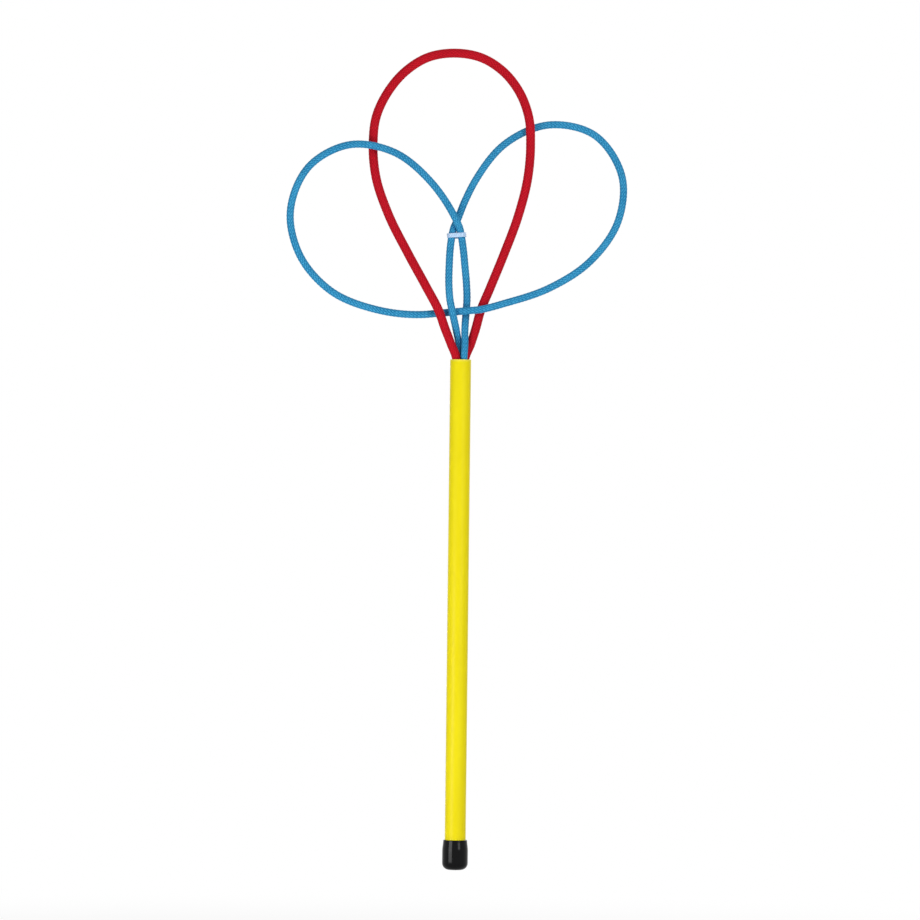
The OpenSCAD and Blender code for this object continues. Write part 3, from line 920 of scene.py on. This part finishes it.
# %% The cap
CAP_WALL, LIP_WALL = 1.5 * MM, 0.9 * MM
CAP_ROUND, CAP_FLOOR, CAP_TAPER_H = 4.4 * MM, 3 * MM, 7 * MM
LIP_ROUND = 0.4 * MM
CAP_MIDDLE_R = 1.0 * MM
CAP_SIDES, CAP_WALL_ROWS, CAP_STEPS = 96, 8, 12

cap_r = cap_high.x
bore_r = cap_r - CAP_WALL
lip_r = bore_r + LIP_WALL
foot_z, lip_z = cap_low.z, cap_high.z
wall_z = np.linspace(foot_z + CAP_ROUND, lip_z - CAP_TAPER_H, CAP_WALL_ROWS)
bore_z = np.linspace(lip_z - 2 * LIP_ROUND, foot_z + CAP_FLOOR, CAP_STEPS)
taper = np.linspace(0, 1, CAP_STEPS)[:-1]
taper_r = cap_r + (lip_r - cap_r) * eased(taper)
taper_line = np.column_stack([taper_r, lip_z - CAP_TAPER_H + taper * CAP_TAPER_H])
cap_outline = np.vstack([
    straight(CAP_MIDDLE_R, [foot_z]),
    arc(cap_r - CAP_ROUND, foot_z + CAP_ROUND, CAP_ROUND, -90, 0, CAP_STEPS),
    straight(cap_r, wall_z[1:-1]),
    taper_line[taper_line[:, 1] < lip_z - LIP_ROUND],
    arc(lip_r - LIP_ROUND, lip_z - LIP_ROUND, LIP_ROUND, 0, 180, CAP_STEPS),
    straight(bore_r, bore_z),
    straight(CAP_MIDDLE_R, [foot_z + CAP_FLOOR]),
])
rows = len(cap_outline)
cap_faces = [*grid_faces(rows, CAP_SIDES), *end_faces(rows, CAP_SIDES)]
cap = make_piece("vinyl_cap", turned_points(cap_outline, CAP_SIDES), cap_faces, BLACK_VINYL)
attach(cap, "cap")
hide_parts("end_cap")
report(cap)

# %% [markdown]
# ## The plug
# The plug closes the tube below the mouth, with a hole for each foot of the cores. It could be modelled
# again here, but its solid already has the right shape, so it stays and only gets a finish: ivory
# moulded plastic with a faint cloudiness.

# %% Plug finish
PLUG_PLASTIC, tree, shader, place = new_finish("plug_plastic", specular_ior_level=0.45)
cloud = noise(tree, place, scale=240.0, detail=4.0)
clouded(tree, shader, cloud, tones=("#CFC8B4", "#DED8C6"), gloss=(0.42, 0.58))
bumped(tree, shader, noise(tree, place, scale=1500.0), distance=0.03 * MM, strength=0.3)
plug_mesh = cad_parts["cord_plug"].data
plug_mesh.materials.clear()
plug_mesh.materials.append(PLUG_PLASTIC)
print("plug keeps its solid,", len(plug_mesh.polygons), "faces")

# %% [markdown]
# ## The tie
# A pale nylon tie holds the two blue strands together just below the place where they cross. It is a
# flat strap in a round-ended loop, with a small head behind it and a short cut tail. A box with a bevel
# could stand for each of the three. A rounded section carried along a path is used instead, so the
# edges are soft all the way round, as on a moulded tie. The nylon is milky, so it looks solid from a
# step away.

# %% Tie nylon
TIE_NYLON, tree, shader, place = new_finish("tie_nylon", specular_ior_level=0.25)
cloud = noise(tree, place, scale=300.0, detail=1.0)
clouded(tree, shader, cloud, tones=("#B4D4F6", "#C8E0FB"), gloss=(0.28, 0.42))
bumped(tree, shader, cloud, distance=0.02 * MM, strength=0.15)
print("finish:", TIE_NYLON.name)

# %% Strap of the tie
TIE_W, TIE_T, TIE_GAP, TIE_TILT_DEG = 2.8 * MM, 0.5 * MM, 0.6 * MM, 4
TIE_EDGE = 0.14 * MM
BEND_POINTS, RUN_POINTS = 25, 9


def rounded_section(width, thickness, edge, per_corner=4):
    """A rectangle with round corners, as offsets outwards and along the axis: four quarter circles."""
    t = np.radians(np.linspace(0, 90, per_corner))
    quarters = [(1, 1, 0), (-1, 1, 90), (-1, -1, 180), (1, -1, 270)]
    rows = [
        np.column_stack([
            out * (thickness / 2 - edge) + edge * np.cos(t + math.radians(start)),
            high * (width / 2 - edge) + edge * np.sin(t + math.radians(start)),
        ])
        for out, high, start in quarters
    ]
    return np.vstack(rows)


def strap_points(path, outward, sections):
    """A section carried along a flat path: place plus its first offset outwards, and its second along Z."""
    flat = path[:, None] + outward[:, None] * sections[..., :1]
    return np.concatenate([flat, sections[..., 1:]], -1).reshape(-1, 3)


def straight_back(count):
    """Outward directions of a straight run behind the strands: +Y at each point."""
    return np.tile([[0.0, 1.0]], (count, 1))


def at_the_tie(points):
    """From the tie's own place to the wand: turned by the tie's tilt, and moved to where it sits."""
    return TIE_AT + turned_in_plane(points, TIE_TILT_DEG)


# Outline of the loop: two half circles round the strands, joined by straight runs in front and behind
strap_section = rounded_section(TIE_W, TIE_T, TIE_EDGE)
sides = len(strap_section)
tie_r = BLUE_D / 2 + TIE_GAP
strap_r = tie_r + TIE_T / 2
t = np.radians(np.linspace(-90, 90, BEND_POINTS))
half = np.column_stack([np.cos(t), np.sin(t)])
runs = np.linspace(-1, 1, RUN_POINTS)[1:-1]
behind = np.column_stack([-runs * TIE_HALF, np.full(len(runs), strap_r)])
loop_path = np.vstack([[TIE_HALF, 0] + half * strap_r, behind, [-TIE_HALF, 0] - half * strap_r, -behind])
loop_outward = np.vstack([half, straight_back(len(runs)), -half, -straight_back(len(runs))])
loop_sections = np.broadcast_to(strap_section, (len(loop_path), sides, 2))
points = strap_points(loop_path, loop_outward, loop_sections)
strap_faces = ring_faces(len(loop_path), sides, inward=True)
strap = make_piece("tie_strap", at_the_tie(points), strap_faces, TIE_NYLON)
print("the strap's path has", len(loop_path), "points")

# %% Head and tail of the tie
TIE_HEAD_W, TIE_HEAD_T, TIE_HEAD_LIP = 4.6 * MM, 2.6 * MM, 0.6 * MM
HEAD_EDGE, HEAD_STEPS = 0.45 * MM, 6
TAIL_LEN, TAIL_INSIDE, TAIL_SINK_SHARE = 1.6 * MM, 1.0 * MM, 1.5
TEETH, STEPS_PER_TOOTH, TOOTH_SHARE = 5, 6, 0.35


def block_points(section, bottom, depth, edge, steps):
    """A rounded block: a section that is drawn in by a quarter circle at both ends as it rises along +Y."""
    t = np.radians(np.linspace(0, 90, steps))
    sink, inset = edge * (1 - np.cos(t)), edge * (1 - np.sin(t))
    rise = np.concatenate([bottom + sink, bottom + depth - sink[::-1]])
    inset = np.concatenate([inset, inset[::-1]])
    size = 1 - inset[:, None] / np.abs(section).max(0)
    flat = section[None] * size[:, None]
    y = np.broadcast_to(rise[:, None], flat.shape[:2])
    return np.stack([flat[..., 0], y, flat[..., 1]], -1).reshape(-1, 3)


head_section = rounded_section(TIE_W + 2 * TIE_HEAD_LIP, TIE_HEAD_W, HEAD_EDGE, HEAD_STEPS)
points = block_points(head_section, strap_r, TIE_HEAD_T, HEAD_EDGE, HEAD_STEPS)
head_grid = (2 * HEAD_STEPS, len(head_section))
head_faces = [*grid_faces(*head_grid, inward=True), *end_faces(*head_grid, inward=True)]
tie_head = make_piece("tie_head", at_the_tie(points), head_faces, TIE_NYLON, 2)

# The tail thins along each tooth and starts again at its full thickness.
tail_y = tie_r + TIE_T + TIE_HEAD_T - TAIL_SINK_SHARE * TIE_T
tail_x = np.linspace(TIE_HEAD_W / 2 - TAIL_INSIDE, TIE_HEAD_W / 2 + TAIL_LEN, STEPS_PER_TOOTH * TEETH + 1)
tooth = 1 - TOOTH_SHARE * ((tail_x - tail_x[0]) / (tail_x[-1] - tail_x[0]) * TEETH % 1.0)
tail_path = np.column_stack([tail_x, np.full(len(tail_x), tail_y)])
tail_sections = strap_section[None] * np.stack([tooth, np.ones_like(tooth)], -1)[:, None]
points = strap_points(tail_path, straight_back(len(tail_x)), tail_sections)
tail_faces = [*grid_faces(len(tail_x), sides), *end_faces(len(tail_x), sides)]
tie_tail = make_piece("tie_tail", at_the_tie(points), tail_faces, TIE_NYLON, 2)

for piece in (strap, tie_head, tie_tail):
    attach(piece, "head")
    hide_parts("crotch_tie")
    report(piece)
